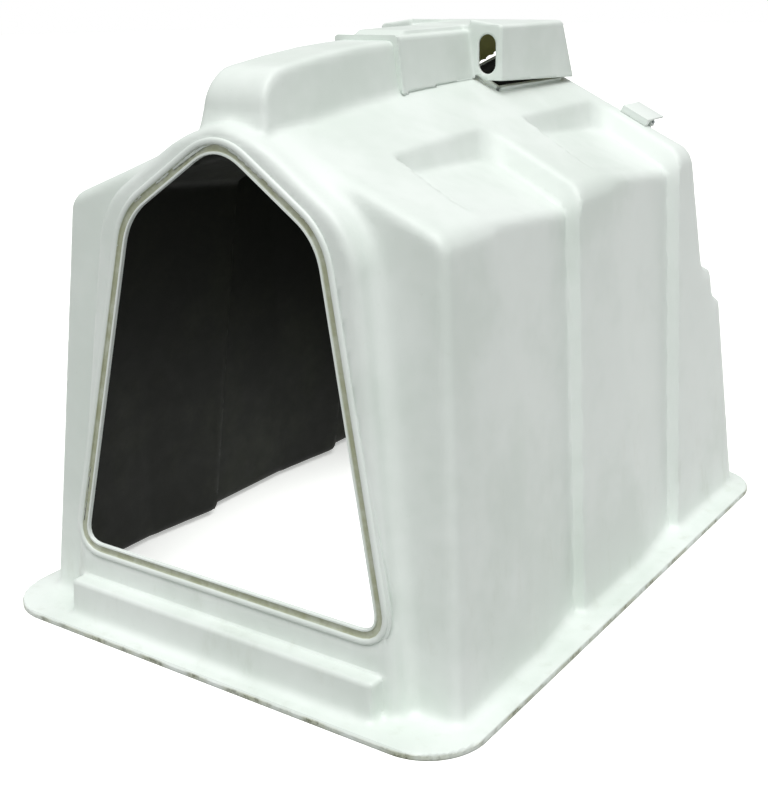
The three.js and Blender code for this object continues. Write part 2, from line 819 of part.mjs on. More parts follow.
for (const [sideName, side] of [['left', -1], ['right', 1]]) {
  const pin = piece(`hinge_pin_${sideName}`, hingePinGeometry(), steel);
  pin.position.set(side * HINGE.x, HINGE.y, HINGE.z);
  hutch.add(
    piece(`hinge_bracket_${sideName}`, bracketGeometry(side), plastic),
    piece(`hinge_bracket_screw_${sideName}`, bracketScrewGeometry(side), steel),
    pin,
    piece(`latch_post_${sideName}`, latchPostGeometry(side), darkPlastic),
    piece(`latch_button_${sideName}`, latchButtonGeometry(side), darkPlastic),
    piece(`latch_screw_${sideName}`, latchScrewGeometry(side), steel),
  );
}

export default hutch;
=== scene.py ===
"""Calf hutch: a soft-cornered formed shelter with its ridge vent cap, bedding door and fittings.

Lengths are metres. A piece is drawn with x from the middle of the hutch, depth from the front
edge of the ground flange and height above the ground, and is then moved back to the frame.
"""

import math

import bmesh
import bpy
import numpy as np
from mathutils import Matrix, Vector


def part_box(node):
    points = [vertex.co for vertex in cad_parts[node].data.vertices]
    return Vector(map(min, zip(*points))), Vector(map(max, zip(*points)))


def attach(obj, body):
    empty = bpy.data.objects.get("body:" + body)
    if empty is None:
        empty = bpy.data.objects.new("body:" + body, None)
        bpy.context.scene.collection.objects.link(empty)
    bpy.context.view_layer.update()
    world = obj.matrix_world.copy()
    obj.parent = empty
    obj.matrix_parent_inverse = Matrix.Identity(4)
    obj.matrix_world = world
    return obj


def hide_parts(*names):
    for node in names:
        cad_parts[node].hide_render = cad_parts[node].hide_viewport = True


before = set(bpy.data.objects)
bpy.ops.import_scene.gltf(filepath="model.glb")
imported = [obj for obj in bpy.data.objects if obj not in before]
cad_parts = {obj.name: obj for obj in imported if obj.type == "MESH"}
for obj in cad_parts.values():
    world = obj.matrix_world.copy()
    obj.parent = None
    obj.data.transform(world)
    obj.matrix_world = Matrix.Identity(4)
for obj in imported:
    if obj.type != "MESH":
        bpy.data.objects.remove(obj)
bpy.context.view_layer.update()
FRONT_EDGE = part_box("shell")[0][1]  # the flange's front edge in the frame

bl_info = {
    "name": "Calf Hutch",
    "version": (1, 0, 0),
    "blender": (4, 5, 0),
    "location": "View3D > Sidebar > Calf Hutch",
    "description": "Builds a formed plastic calf hutch around its packed frame",
    "category": "Add Mesh",
}

# ---- form of the shell ----

WALL_FOOT = 0.557  # half width at the ground
WALL_LEAN = 0.088  # how far the side walls lean in, per metre of height
FRONT = {"depth": 0.122, "lean": 0.090}
ROOF = {"front": 0.215, "rear": 1.345, "ridge": 1.180, "drop": 0.070, "eave": 0.919, "rise": 0.019}
TIERS = [
    {"depth": 1.504, "lean": -0.160},
    {"depth": 1.533, "lean": -0.117, "top": 0.641, "fall": 0.3},
    {"depth": 1.580, "lean": -0.120, "top": 0.556, "fall": 0.4},
]
SHELF_REACH = 0.030  # a shelf's top is measured this far in front of its edge
BAYS = [{"crease": 0.446, "rib": 0.651}, {"crease": 0.962, "rib": 1.181}]
BAY = {
    # how the front crease and the rib lean, per metre of height
    "crease_lean": -0.09, "rib_lean": 0.075,
    # slopes of the rib's front on the wall and the roof, and where under each they start
    "rib_slope": 0.3, "roof_slope": 0.6, "wall_start": 0.028, "roof_start": 0.045, "blend": 0.006,
    # the inner end of the roof pocket, its draft, and the height where the draft stops
    "inner": 0.236, "draft": 0.34, "low": 0.88,
    # depths at the rib: on the wall, added to it by the eave, and on the roof
    "wall": 0.026, "eave": 0.004, "roof": 0.054, "floor_share": 0.9,
    # the roof pocket's front end: its depth and set-back, which fade out towards the eave
    "end": 0.034, "set_back": 0.040, "fade_from": 0.020, "fade": 0.17,
}
FRAME_PLANE = {"depth": 0.078, "lean": 0.071}
FRAME_REAR = 0.300
FRAME_OUTLINE = [(0.450, 0.0), (0.319, 0.931), (0.104, 1.074), (0.0, 1.110)]
LEDGE = {"half": 0.408, "front": 0.040, "rear": 0.200, "height": 0.097, "lean": 0.08}
SPINE = {
    # half width, which is reached this far below the crown
    "half": 0.075, "draft": 0.13, "shoulder": 0.034,
    # depths of the two ends and of the point where the crown becomes level, and its heights
    "front": 0.207, "rear": 0.935, "level": 0.645, "nose": 1.192, "crown": 1.230,
    # the nose's flare, from its foot down
    "foot": 1.124, "flare": 0.28, "flare_drop": 0.070,
}
FLANGE = {"half": 0.610, "length": 1.650, "corner": 0.130, "lip": 0.014}
DOORWAY = {
    "sill": 0.181, "sill_half": 0.394, "shoulder": (0.237, 0.908), "peak": 1.068,
    "sill_round": 0.030, "shoulder_round": 0.032, "peak_round": 0.035,
}
VENT = {"half": 0.138, "front": 0.972, "rear": 1.262}
HINGE = {"depth": 1.390, "height": 1.000}
REAR_OPENING = {"half": 0.290, "low": 0.724, "high": 0.931, "corner": 0.040}
RIDGE_ROUND = 0.02
EDGE = {  # radii of the outward edges
    "eave": 0.028, "rear": 0.024, "front": 0.022, "tier": 0.014, "bay_floor": 0.014,
    "bay_plan": 0.018, "bay_rib": 0.040, "bay_mouth": 0.006, "shoulder": 0.055,
    "gable": 0.012, "frame": 0.020, "ledge": 0.008, "nose": 0.070, "spine": 0.013,
    "flange": 0.005,
}
FILL = {  # radii of the inward corners
    "tier": 0.012, "bay": 0.005, "frame": 0.030, "spine": 0.011, "ledge": 0.007, "flange": 0.018,
}


def rounded_edge(a, b, radius):
    """Inside both fields, with the outward edge between them rounded."""
    corner = np.hypot(np.maximum(a + radius, 0), np.maximum(b + radius, 0))
    return np.minimum(np.maximum(a, b), -radius) + corner


def filleted(a, b, radius):
    """Inside either field, with the inward edge between them filled."""
    corner = np.hypot(np.maximum(radius - a, 0), np.maximum(radius - b, 0))
    return np.maximum(np.minimum(a, b), radius) - corner


def soft_middle(x, radius):
    """Distance from the middle plane, eased so that a ridge drawn with it is rounded."""
    return np.hypot(x, radius)


def line_field(x, z, start, end):
    """Signed distance from a line of an outline drawn upwards on the right."""
    run = end[0] - start[0]
    rise = end[1] - start[1]
    return ((x - start[0]) * rise - (z - start[1]) * run) / math.hypot(run, rise)


def ridge_height(depth):
    along = np.clip((depth - ROOF["front"]) / (ROOF["rear"] - ROOF["front"]), 0, 1)
    return ROOF["ridge"] - ROOF["drop"] * (1 - along) ** 3


def roof_slope(depth):
    eave = ROOF["eave"] + ROOF["rise"] * depth
    return (ridge_height(depth) - eave) / (WALL_FOOT - WALL_LEAN * eave)


def roof_height(x, depth):
    return ridge_height(depth) - roof_slope(depth) * x


def wall_field(x, z):
    return (x - WALL_FOOT + WALL_LEAN * z) / math.hypot(1, WALL_LEAN)


def roof_field(x, depth, z):
    slope = roof_slope(depth)
    return (z - roof_height(soft_middle(x, RIDGE_ROUND), depth)) / np.hypot(1, slope)


def leaning_plane(depth, z, plane):
    """Distance in front of a plane that leans with height."""
    return (plane["depth"] + plane["lean"] * z - depth) / math.hypot(1, plane["lean"])


def rear_field(depth, z):
    """The rear wall, which steps out twice on its way down."""
    rear = -leaning_plane(depth, z, TIERS[0])
    for tier in TIERS[1:]:
        back = tier["depth"] + tier["lean"] * tier["top"]
        shelf = tier["top"] - tier["fall"] * (depth - back + SHELF_REACH)
        above = (z - shelf) / math.hypot(1, tier["fall"])
        step = rounded_edge(-leaning_plane(depth, z, tier), above, EDGE["tier"])
        rear = filleted(rear, step, FILL["tier"])
    return rear


def bay_field(x, depth, z, bay):
    """What a pressed bay leaves standing, and how far along the bay each point lies.

    The bay deepens from its front crease to its rib. inward is 1 at the inner end of the
    roof pocket, where the bay starts with a step, and 0 towards the eave.
    """
    wall = wall_field(x, z)
    roof = roof_field(x, depth, z)
    crease = bay["crease"] + BAY["crease_lean"] * z
    rib = bay["rib"] + BAY["rib_lean"] * z
    share = np.clip((depth - crease) / (rib - crease), 0, 1.1)
    wall_depth = (BAY["wall"] + BAY["eave"] * z / ROOF["eave"]) * share
    inward = np.clip(1 - (x - BAY["inner"] - BAY["fade_from"]) / BAY["fade"], 0, 1)
    start = BAY["end"] * inward
    roof_depth = start + (BAY["roof"] - start) * share
    roof_floor = roof + roof_depth * BAY["floor_share"]
    floor = rounded_edge(wall + wall_depth, roof_floor, EDGE["bay_floor"])
    blend = BAY["blend"]
    wall_run = BAY["rib_slope"] * (BAY["wall_start"] + wall)
    roof_run = BAY["roof_slope"] * (BAY["roof_start"] + roof)
    rib_wall = depth - rib - blend * np.logaddexp(wall_run / blend, roof_run / blend)
    below = roof_height(BAY["inner"], depth) - np.maximum(z, BAY["low"])
    inner = BAY["inner"] + below * BAY["draft"]
    front = crease + BAY["set_back"] * inward
    side = (inner - x) / math.hypot(1, BAY["draft"])
    plan = rounded_edge(front - depth, side, EDGE["bay_plan"])
    slab = rounded_edge(plan, rib_wall / math.hypot(1, BAY["rib_slope"]), EDGE["bay_rib"])
    return filleted(-slab, floor, FILL["bay"]), share


def frame_field(x, depth, z):
    """The raised frame round the doorway."""
    foot, shoulder, crown, top = FRAME_OUTLINE
    middle = soft_middle(x, RIDGE_ROUND)
    outline = rounded_edge(
        line_field(x, z, foot, shoulder), line_field(x, z, shoulder, crown), EDGE["shoulder"])
    outline = rounded_edge(outline, line_field(middle, z, crown, top), EDGE["gable"])
    boss = rounded_edge(outline, leaning_plane(depth, z, FRAME_PLANE), EDGE["frame"])
    return np.maximum(boss, depth - FRAME_REAR)


def ledge_field(x, depth, z):
    """The step under the doorway."""
    face = LEDGE["front"] + LEDGE["lean"] * z - depth
    ledge = rounded_edge(face, z - LEDGE["height"], EDGE["ledge"])
    ledge = rounded_edge(ledge, x - LEDGE["half"], EDGE["ledge"])
    return np.maximum(ledge, depth - LEDGE["rear"])


def spine_field(x, depth, z):
    """The tall spine along the ridge, with its rounded nose."""
    rise = np.clip((depth - SPINE["front"]) / (SPINE["level"] - SPINE["front"]), 0, 1)
    crown = SPINE["nose"] + (SPINE["crown"] - SPINE["nose"]) * np.sin(rise * math.pi / 2)
    flare = SPINE["flare"] * np.clip(SPINE["foot"] - z, 0, SPINE["flare_drop"])
    nose = rounded_edge(SPINE["front"] - flare - depth, z - crown, EDGE["nose"])
    side = x - SPINE["half"] - SPINE["draft"] * (crown - SPINE["shoulder"] - z)
    body = rounded_edge(nose, side / math.hypot(1, SPINE["draft"]), EDGE["spine"])
    return np.maximum(body, depth - SPINE["rear"])


def flange_field(x, depth, z):
    corner = FLANGE["corner"]
    half = FLANGE["length"] / 2
    side = x - FLANGE["half"] + corner
    end = np.abs(depth - half) - half + corner
    plan = np.hypot(np.maximum(side, 0), np.maximum(end, 0))
    plan = plan + np.minimum(np.maximum(side, end), 0) - corner
    return rounded_edge(plan, z - FLANGE["lip"], EDGE["flange"])


def shell_field(x, depth, z):
    """Negative inside the outer form of the whole shell."""
    body = rounded_edge(wall_field(x, z), roof_field(x, depth, z), EDGE["eave"])
    body = rounded_edge(body, rear_field(depth, z), EDGE["rear"])
    body = rounded_edge(body, leaning_plane(depth, z, FRONT), EDGE["front"])
    for bay in BAYS:
        standing, share = bay_field(x, depth, z, bay)
        body = rounded_edge(body, standing, EDGE["bay_mouth"] * np.clip(share * 3, 0, 1))
    body = filleted(body, frame_field(x, depth, z), FILL["frame"])
    body = filleted(body, spine_field(x, depth, z), FILL["spine"])
    body = filleted(body, ledge_field(x, depth, z), FILL["ledge"])
    return filleted(body, flange_field(x, depth, z), FILL["flange"])


# ---- skinning a field ----


def steps(*stretches):
    """Grid planes from stretches of (start, end, spacing)."""
    planes = [np.arange(start, end - spacing * 0.5, spacing) for start, end, spacing in stretches]
    return np.concatenate(planes + [[stretches[-1][1]]])


def shifted(cells, axes, shift):
    """Grid cells moved back along two axes."""
    moved = cells.copy()
    moved[:, axes] -= shift
    return moved


def skin(field, planes):
    """Corner points and four-sided faces of the surface where a field is zero.

    Each grid cell that the surface passes through gets one point, and each grid edge that
    it crosses gets the face between the four cells round that edge.
    """
    grid = np.meshgrid(*planes, indexing="ij")
    value = field(*grid)
    total = np.zeros(tuple(n - 1 for n in value.shape) + (4,))
    edges = []
    for axis in range(3):
        near = np.take(value, range(value.shape[axis] - 1), axis)
        far = np.take(value, range(1, value.shape[axis]), axis)
        crossed = np.argwhere((near < 0) != (far < 0))
        first = near[tuple(crossed.T)]
        share = first / (first - far[tuple(crossed.T)])
        place = np.stack([planes[k][crossed[:, k]] for k in range(3)], axis=1)
        index = crossed[:, axis]
        place[:, axis] += share * (planes[axis][index + 1] - planes[axis][index])
        others = [k for k in range(3) if k != axis]
        sides = crossed[:, others]
        inner = np.all((sides > 0) & (sides < np.array(value.shape)[others] - 1), axis=1)
        edges.append((crossed[inner], first[inner] < 0, axis, others))
        for shift in ((0, 0), (0, 1), (1, 0), (1, 1)):
            cell = shifted(crossed, others, shift)
            good = np.all((cell >= 0) & (cell < np.array(total.shape[:3])), axis=1)
            weighted = np.concatenate([place[good], np.ones((good.sum(), 1))], axis=1)
            np.add.at(total, tuple(cell[good].T), weighted)
    used = total[..., 3] > 0
    number = np.full(used.shape, -1)
    number[used] = np.arange(used.sum())
    points = total[used][:, :3] / total[used][:, 3:]
    faces = []
    for crossed, outward, axis, others in edges:
        corners = []
        for shift in ((0, 0), (1, 0), (1, 1), (0, 1)):
            cell = shifted(crossed, others, shift)
            corners.append(number[tuple(cell.T)])
        quads = np.stack(corners, axis=1)
        turned = outward if axis != 1 else ~outward
        quads[~turned] = quads[~turned][:, ::-1]
        faces.append(quads)
    return points, np.concatenate(faces)


def gradient(field, points, step=2e-4):
    """How a field changes per metre along each axis."""
    slopes = []
    for axis in range(points.shape[1]):
        shift = np.zeros(points.shape[1])
        shift[axis] = step
        slopes.append(field(*(points + shift).T) - field(*(points - shift).T))
    return np.stack(slopes, axis=1) / (2 * step)


def settle(points, field, rounds=4, reach=0.004):
    """Moves points square to the surface until they lie on it."""
    for _ in range(rounds):
        slope = gradient(field, points)
        size = np.maximum((slope ** 2).sum(axis=1, keepdims=True), 0.2)
        move = -field(*points.T)[:, None] * slope / size
        length = np.maximum(np.linalg.norm(move, axis=1, keepdims=True), 1e-9)
        points = points + move * np.minimum(1, reach / length)
    return points


def open_hole(points, faces, hole, near, reach):
    """Drops the faces in a hole and pulls the points round it to its edge.

    hole is a field of (x, depth, z), near says which points it may touch, and points within
    reach of the edge are moved onto it.
    """
    value = hole(*points.T)
    close = (np.abs(value) < reach) & near(*points.T)
    points[close] = settle(points[close], hole)
    value[close] = 0
    drop = (value[faces].mean(axis=1) < -1e-5) & near(*points.T)[faces].all(axis=1)
    edge = np.intersect1d(faces[drop], faces[~drop])
    points[edge] = settle(points[edge], hole)
    return faces[~drop]


def cut_away(bm, normal):
    """Cuts off everything in front of a plane through the frame's origin."""
    everything = bm.verts[:] + bm.edges[:] + bm.faces[:]
    bmesh.ops.bisect_plane(
        bm, geom=everything, dist=1e-6, plane_co=(0, 0, 0), plane_no=normal, clear_outer=True)


def surface_mesh(points, faces):
    """A bmesh of one half, with its depth moved to the frame, mirrored to both halves."""
    bm = bmesh.new()
    verts = [bm.verts.new(point) for point in points + np.array([0, FRONT_EDGE, 0])]
    for face in faces:
        bm.faces.new([verts[i] for i in face])
    bmesh.ops.delete(bm, geom=[v for v in bm.verts if not v.link_faces], context="VERTS")
    cut_away(bm, (-1, 0, 0))
    everything = bm.verts[:] + bm.edges[:] + bm.faces[:]
    bmesh.ops.mirror(bm, geom=everything, axis="X", merge_dist=1e-5)
    bmesh.ops.dissolve_degenerate(bm, dist=4e-4, edges=bm.edges[:])
    bmesh.ops.recalc_face_normals(bm, faces=bm.faces[:])
    return bm


# ---- sheet and pieces ----


SHARP_ANGLE = 35  # degrees between faces above which their edge is drawn sharp


def thicken(piece, sheet):
    """Gives an open skin the thickness of its sheet, inwards, in the inner material."""
    wall = piece.modifiers.new("sheet", "SOLIDIFY")
    wall.thickness = sheet
    wall.offset = -1
    wall.use_quality_normals = True
    wall.material_offset = 1


def placed(name, data):
    """A new object in the scene."""
    made = bpy.data.objects.new(name, data)
    bpy.context.collection.objects.link(made)
    return made


def finished(bm, name, materials, body, node=None):
    """Makes a bmesh an object that rides on its body and stands for its CAD node."""
    mesh = bpy.data.meshes.new(name)
    bm.to_mesh(mesh)
    bm.free()
    for material in materials:
        mesh.materials.append(material)
    mesh.shade_smooth()
    mesh.set_sharp_from_angle(angle=math.radians(SHARP_ANGLE))
    piece = placed(name, mesh)
    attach(piece, body)
    if node:
        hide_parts(node)
    return piece


def doorway_field(x, depth, z, grow):
    """Negative inside the doorway, grown by a margin."""
    sill = (DOORWAY["sill_half"], DOORWAY["sill"])
    peak = (0.0, DOORWAY["peak"])
    side = line_field(x, z, sill, DOORWAY["shoulder"]) - grow
    soft = soft_middle(x, DOORWAY["peak_round"])
    upper = line_field(soft, z, DOORWAY["shoulder"], peak) - grow
    opening = rounded_edge(side, upper, DOORWAY["shoulder_round"] + 0.25 * grow)
    return rounded_edge(opening, DOORWAY["sill"] - grow - z, DOORWAY["sill_round"] + grow)


def vent_field(x, depth, z):
    middle = (VENT["front"] + VENT["rear"]) / 2
    return np.maximum(x - VENT["half"], np.abs(depth - middle) - (VENT["rear"] - VENT["front"]) / 2)


def rear_opening_field(x, depth, z):
    middle = (REAR_OPENING["low"] + REAR_OPENING["high"]) / 2
    half = (REAR_OPENING["high"] - REAR_OPENING["low"]) / 2
    return rounded_edge(x - REAR_OPENING["half"], np.abs(z - middle) - half, REAR_OPENING["corner"])


def build_shell():
    """The shell as one open skin, on a grid that is finer where its form turns."""
    planes = (
        steps((-0.012, 0.060, 0.012), (0.060, 0.120, 0.0075), (0.120, 0.220, 0.0125),
              (0.220, 0.284, 0.008), (0.284, 0.404, 0.012), (0.404, 0.629, 0.0102)),
        steps((-0.010, 0.238, 0.008), (0.238, 0.334, 0.012), (0.334, 0.398, 0.008),
              (0.398, 0.602, 0.012), (0.602, 0.784, 0.009), (0.784, 0.856, 0.012),
              (0.856, 0.920, 0.008), (0.920, 1.136, 0.012), (1.136, 1.318, 0.009),
              (1.318, 1.662, 0.0123)),
        steps((-0.012, 0.036, 0.006), (0.036, 0.084, 0.012), (0.084, 0.112, 0.004),
              (0.112, 0.832, 0.030), (0.832, 0.852, 0.010),
              (0.852, 1.244, 0.0103)),
    )
    points, faces = skin(shell_field, planes)
    points = settle(points, shell_field)
    holes = [
        (lambda x, d, z: doorway_field(x, d, z, RIM["hole"]), lambda x, d, z: d < 0.21),
        (vent_field, lambda x, d, z: z > 1.0),
        (rear_opening_field, lambda x, d, z: d > 1.3),
    ]
    for hole, near in holes:
        faces = open_hole(points, faces, hole, near, reach=0.010)
    bm = surface_mesh(points, faces)
    cut_away(bm, (0, 0, -1))
    return bm


RIM = {  # out from the doorway's edge: where the bead starts, and the hole in the shell
    "bead": 0.0185, "hole": 0.023, "points": 260,
}
RIM_CORNERS = {"sill": 0.046, "shoulder": 0.056, "peak": 0.070}


def doorway_outline():
    """The edge of the doorway, going round it as evenly spaced points of (x, z)."""
    sill = Vector((DOORWAY["sill_half"], DOORWAY["sill"]))
    shoulder = Vector(DOORWAY["shoulder"])
    peak = Vector((0, DOORWAY["peak"]))
    corners = [
        (sill, RIM_CORNERS["sill"]), (shoulder, RIM_CORNERS["shoulder"]),
        (peak, RIM_CORNERS["peak"]),
    ]
    corners += [(Vector((-corner.x, corner.y)), reach) for corner, reach in corners[1::-1]]
    path = []
    for index, (corner, reach) in enumerate(corners):
        before = corners[index - 1][0]
        after = corners[(index + 1) % len(corners)][0]
        start = corner + (before - corner).normalized() * reach
        end = corner + (after - corner).normalized() * reach
        for step in range(13):
            share = step / 12
            rest = 1 - share
            path.append(start * rest ** 2 + corner * 2 * share * rest + end * share ** 2)
    return evenly_spaced(path, RIM["points"])


def evenly_spaced(path, count):
    """Points at even distances along a closed path."""
    ring = np.array([tuple(point) for point in path + path[:1]])
    lengths = np.concatenate([[0], np.cumsum(np.linalg.norm(np.diff(ring, axis=0), axis=1))])
    places = np.linspace(0, lengths[-1], count, endpoint=False)
    return np.stack([np.interp(places, lengths, ring[:, k]) for k in range(2)], axis=1)


def ring_of(bm, points):
    """A closed ring of edges through points."""
    verts = [bm.verts.new(point) for point in points]
    return [bm.edges.new((verts[i - 1], verts[i])) for i in range(len(verts))]


def build_doorway_rim(bead_height, bead_width, groove_depth, sheet):
    """The lip, groove and bead swept round the doorway, closed on the inside of the sheet.

    Each point of the profile is its distance out from the doorway's edge and its height
    over the face of the frame.
    """
    outline = doorway_outline()
    ahead = np.roll(outline, -1, axis=0) - np.roll(outline, 1, axis=0)
    outward = np.stack([ahead[:, 1], -ahead[:, 0]], axis=1)
    outward /= np.linalg.norm(outward, axis=1, keepdims=True)
    bead = RIM["bead"]
    arc = [math.pi * k / 8 for k in range(9)]
    middle = bead + bead_width / 2
    profile = [(0.0, -sheet), (0.0, 0.0005), (0.0008, 0.0016), (0.0022, 0.002), (0.0045, 0.0016)]
    profile += [(0.0065, -groove_depth * 0.8), (0.0085, -groove_depth)]
    profile += [(bead - 0.0035, -groove_depth), (bead - 0.0012, -groove_depth * 0.7)]
    profile += [
        (middle - bead_width / 2 * math.cos(a), bead_height * math.sin(a) ** 0.8) for a in arc
    ]
    profile += [(bead + bead_width + 0.003, -0.0003), (bead + bead_width + 0.006, -0.0016)]
    profile += [(bead + bead_width + 0.006, -sheet - 0.0006), (0.0, -sheet - 0.0006)]
    lean = FRAME_PLANE["lean"]
    bm = bmesh.new()
    groove_layer = bm.verts.layers.float.new("groove")
    rings = []
    for reach, height in profile:
        flat = outline + outward * reach
        depth = FRAME_PLANE["depth"] + lean * flat[:, 1] - height + FRONT_EDGE
        points = np.stack([flat[:, 0], depth, flat[:, 1]], axis=1)
        rings.append(ring_of(bm, points))
        # Marks the groove's floor, where the rim's material paints shade with some uneven dirt.
        groove_shade_mark = 1.0 if 0.005 < reach < bead + 0.001 and height < 0.001 else 0.0
        for edge in rings[-1]:
            for vert in edge.verts:
                vert[groove_layer] = groove_shade_mark
    for near, far in zip(rings, rings[1:] + rings[:1]):
        bmesh.ops.bridge_loops(bm, edges=near + far)
    bmesh.ops.recalc_face_normals(bm, faces=bm.faces[:])
    return bm


# ---- ridge vent cap ----

CAP = {
    "front": 0.645, "hood": 0.943, "rear": 1.302, "rear_lean": -0.47, "middle": 1.250,
    "wing_inner": 0.082, "wing_outer": 0.166, "wing_top": 1.262, "wing_eaves": 1.250,
    "fall": 0.045, "skirt": 1.128, "overlap": 0.02,
}
SADDLE = {"over_spine": 0.008, "lip_over_spine": 0.011, "lip_length": 0.008}
SADDLE_PANEL = {"half": 0.062, "front": 0.679, "step": 0.001, "slope": (0.61, 0.79)}
SKIRT_OVER_ROOF = {"saddle": 0.003, "hood": 0.013}
CAP_EDGE = {
    "saddle": 0.007, "wing": 0.004, "side": 0.012, "front": 0.007, "rear": 0.010, "panel": 0.006,
}
CAP_FILL = {"wing": 0.004, "lip": 0.003, "panel": 0.006, "hood": 0.006}
SLOT = {"x": 0.127, "z": 1.186, "width": 0.045, "height": 0.088}
CURB = {"clear": 0.010, "width": 0.010, "sunk": 0.004, "height": 0.007, "round": 0.002}


def saddle_field(x, depth, z, grow):
    """The cap's saddle, which follows the spine."""
    crown = SPINE["crown"] + grow
    side = x - SPINE["half"] - grow - SPINE["draft"] * (crown - SPINE["shoulder"] - z)
    return rounded_edge(side / math.hypot(1, SPINE["draft"]), z - crown, CAP_EDGE["saddle"])


def hood_field(x, depth, z):
    """The hood: a low middle between two higher wings, with a sloping rear."""
    fall = CAP["fall"] * (depth - CAP["hood"])
    wing_slope = (CAP["wing_top"] - CAP["wing_eaves"]) / (CAP["wing_outer"] - CAP["wing_inner"])
    wing = z - CAP["wing_top"] + fall + wing_slope * (x - CAP["wing_inner"])
    wing = rounded_edge(wing, CAP["wing_inner"] - CAP_EDGE["wing"] - x, CAP_EDGE["wing"])
    wing = np.minimum(wing, filleted(wing, z - CAP["middle"], CAP_FILL["wing"]))
    side = rounded_edge(wing, x - CAP["wing_outer"], CAP_EDGE["side"])
    front = CAP["hood"] - depth
    rear = depth - CAP["rear"] - CAP["rear_lean"] * (z - CAP["skirt"])
    hood = rounded_edge(side, front, CAP_EDGE["front"])
    return rounded_edge(hood, rear / math.hypot(1, CAP["rear_lean"]), CAP_EDGE["rear"])


def cap_field(x, depth, z):
    """The saddle with its front lip and raised panel, run into the hood."""
    front = CAP["front"] - depth
    rear = depth - CAP["hood"] - CAP["overlap"]
    saddle = np.maximum(saddle_field(x, depth, z, SADDLE["over_spine"]), np.maximum(front, rear))
    lip_rear = depth - CAP["front"] - SADDLE["lip_length"]
    lip = saddle_field(x, depth, z, SADDLE["lip_over_spine"])
    saddle = filleted(saddle, np.maximum(lip, np.maximum(front, lip_rear)), CAP_FILL["lip"])
    step = SADDLE_PANEL["step"]
    along, up = SADDLE_PANEL["slope"]
    panel = rounded_edge(x - SADDLE_PANEL["half"], z - CAP["middle"] + step, CAP_EDGE["panel"])
    slope = (SADDLE_PANEL["front"] - depth) * along + (z - SPINE["crown"] - step) * up
    panel = np.maximum(rounded_edge(panel, slope, CAP_EDGE["panel"]), rear)
    saddle = filleted(saddle, panel, CAP_FILL["panel"])
    return filleted(saddle, hood_field(x, depth, z), CAP_FILL["hood"])


def skirt_height(x, depth):
    """The free edge of the cap, which is just over the roof on the saddle.

    On the hood it falls gently to the rear, but never so far that it would catch the curb.
    """
    on_saddle = roof_height(x, depth) + SKIRT_OVER_ROOF["saddle"]
    level = CAP["skirt"] - CAP["fall"] * (depth - CAP["hood"])
    on_hood = np.maximum(level, roof_height(x, depth) + SKIRT_OVER_ROOF["hood"])
    return np.where(depth < CAP["hood"] - 0.0005, on_saddle, on_hood)


def slot_field(x, depth, z):
    straight = (SLOT["height"] - SLOT["width"]) / 2
    along = np.maximum(np.abs(z - SLOT["z"]) - straight, 0)
    return np.hypot(x - SLOT["x"], along) - SLOT["width"] / 2


def below_skirt(x, depth, z):
    return z - skirt_height(x, depth)


def build_cap():
    planes = (
        steps((-0.005, 0.060, 0.005), (0.060, 0.180, 0.004)),
        steps((0.640, 0.690, 0.004), (0.690, 0.930, 0.008), (0.930, 0.955, 0.004),
              (0.955, 1.320, 0.006)),
        steps((1.050, 1.200, 0.006), (1.200, 1.270, 0.004)),
    )
    points, faces = skin(cap_field, planes)
    points = settle(points, cap_field, reach=0.002)
    holes = [
        (below_skirt, lambda x, d, z: z < 1.19),
        (lambda x, d, z: d - CAP["front"] - 0.0005, lambda x, d, z: d < CAP["front"] + 0.004),
        (slot_field, lambda x, d, z: d < CAP["hood"] + 0.012),
    ]
    for hole, near in holes:
        faces = open_hole(points, faces, hole, near, reach=0.003)
    return surface_mesh(points, faces)


def build_curb():
    """The low curb along the front and sides of the vent opening, under the cap."""
    middle = (VENT["front"] + VENT["rear"]) / 2
    slope = math.atan(float(roof_slope(middle)))
    reach = (VENT["half"] + CURB["clear"]) / math.cos(slope)
    front = VENT["front"] - CURB["clear"]
    rear = VENT["rear"] + CURB["clear"]
    low = -CURB["sunk"]
    high = CURB["height"]
    bm = bmesh.new()
    for side in (-1, 1):
        top = Matrix.Translation((0, FRONT_EDGE, float(ridge_height(middle))))
        place = top @ Matrix.Rotation(side * slope, 4, "Y")
        rails = [
            ((reach - CURB["width"], front), (reach, rear)),
            ((0.0, front), (reach, front + CURB["width"])),
        ]
        for near, far in rails:
            left = min(side * near[0], side * far[0])
            right = max(side * near[0], side * far[0])
            bevelled_box(
                bm, (left, near[1], low), (right, far[1], high), CURB["round"], place)
    return bm


# ---- bedding door and hinge brackets ----

REAR_LEAN = -TIERS[0]["lean"]
STAND_OFF = (  # of the hinge pins from the rear wall
    (HINGE["depth"] - TIERS[0]["depth"] + REAR_LEAN * HINGE["height"]) / math.hypot(1, REAR_LEAN)
)
DOOR_GAP = 0.002  # between the rear wall and the door's skirt
REAR_WALL = (
    Matrix.Translation((0, HINGE["depth"] + FRONT_EDGE, HINGE["height"]))
    @ Matrix.Rotation(math.atan(REAR_LEAN), 4, "X")
)
DOOR = {"half": 0.330, "top": -0.024, "low": -0.306, "rise": 0.028, "corner": 0.036, "panel": 0.048}
HINGE_X = 0.330
LUG = {"width": 0.022, "radius": 0.009}
BRACKET = {
    "half": 0.038, "front": 1.305, "length": 0.094, "foot": 0.016, "rise": 0.013, "plate": 0.005,
    "ear": 0.005, "ear_gap": 0.001, "ear_front": 0.012, "ear_rear": 0.009, "ear_below": 0.010,
}


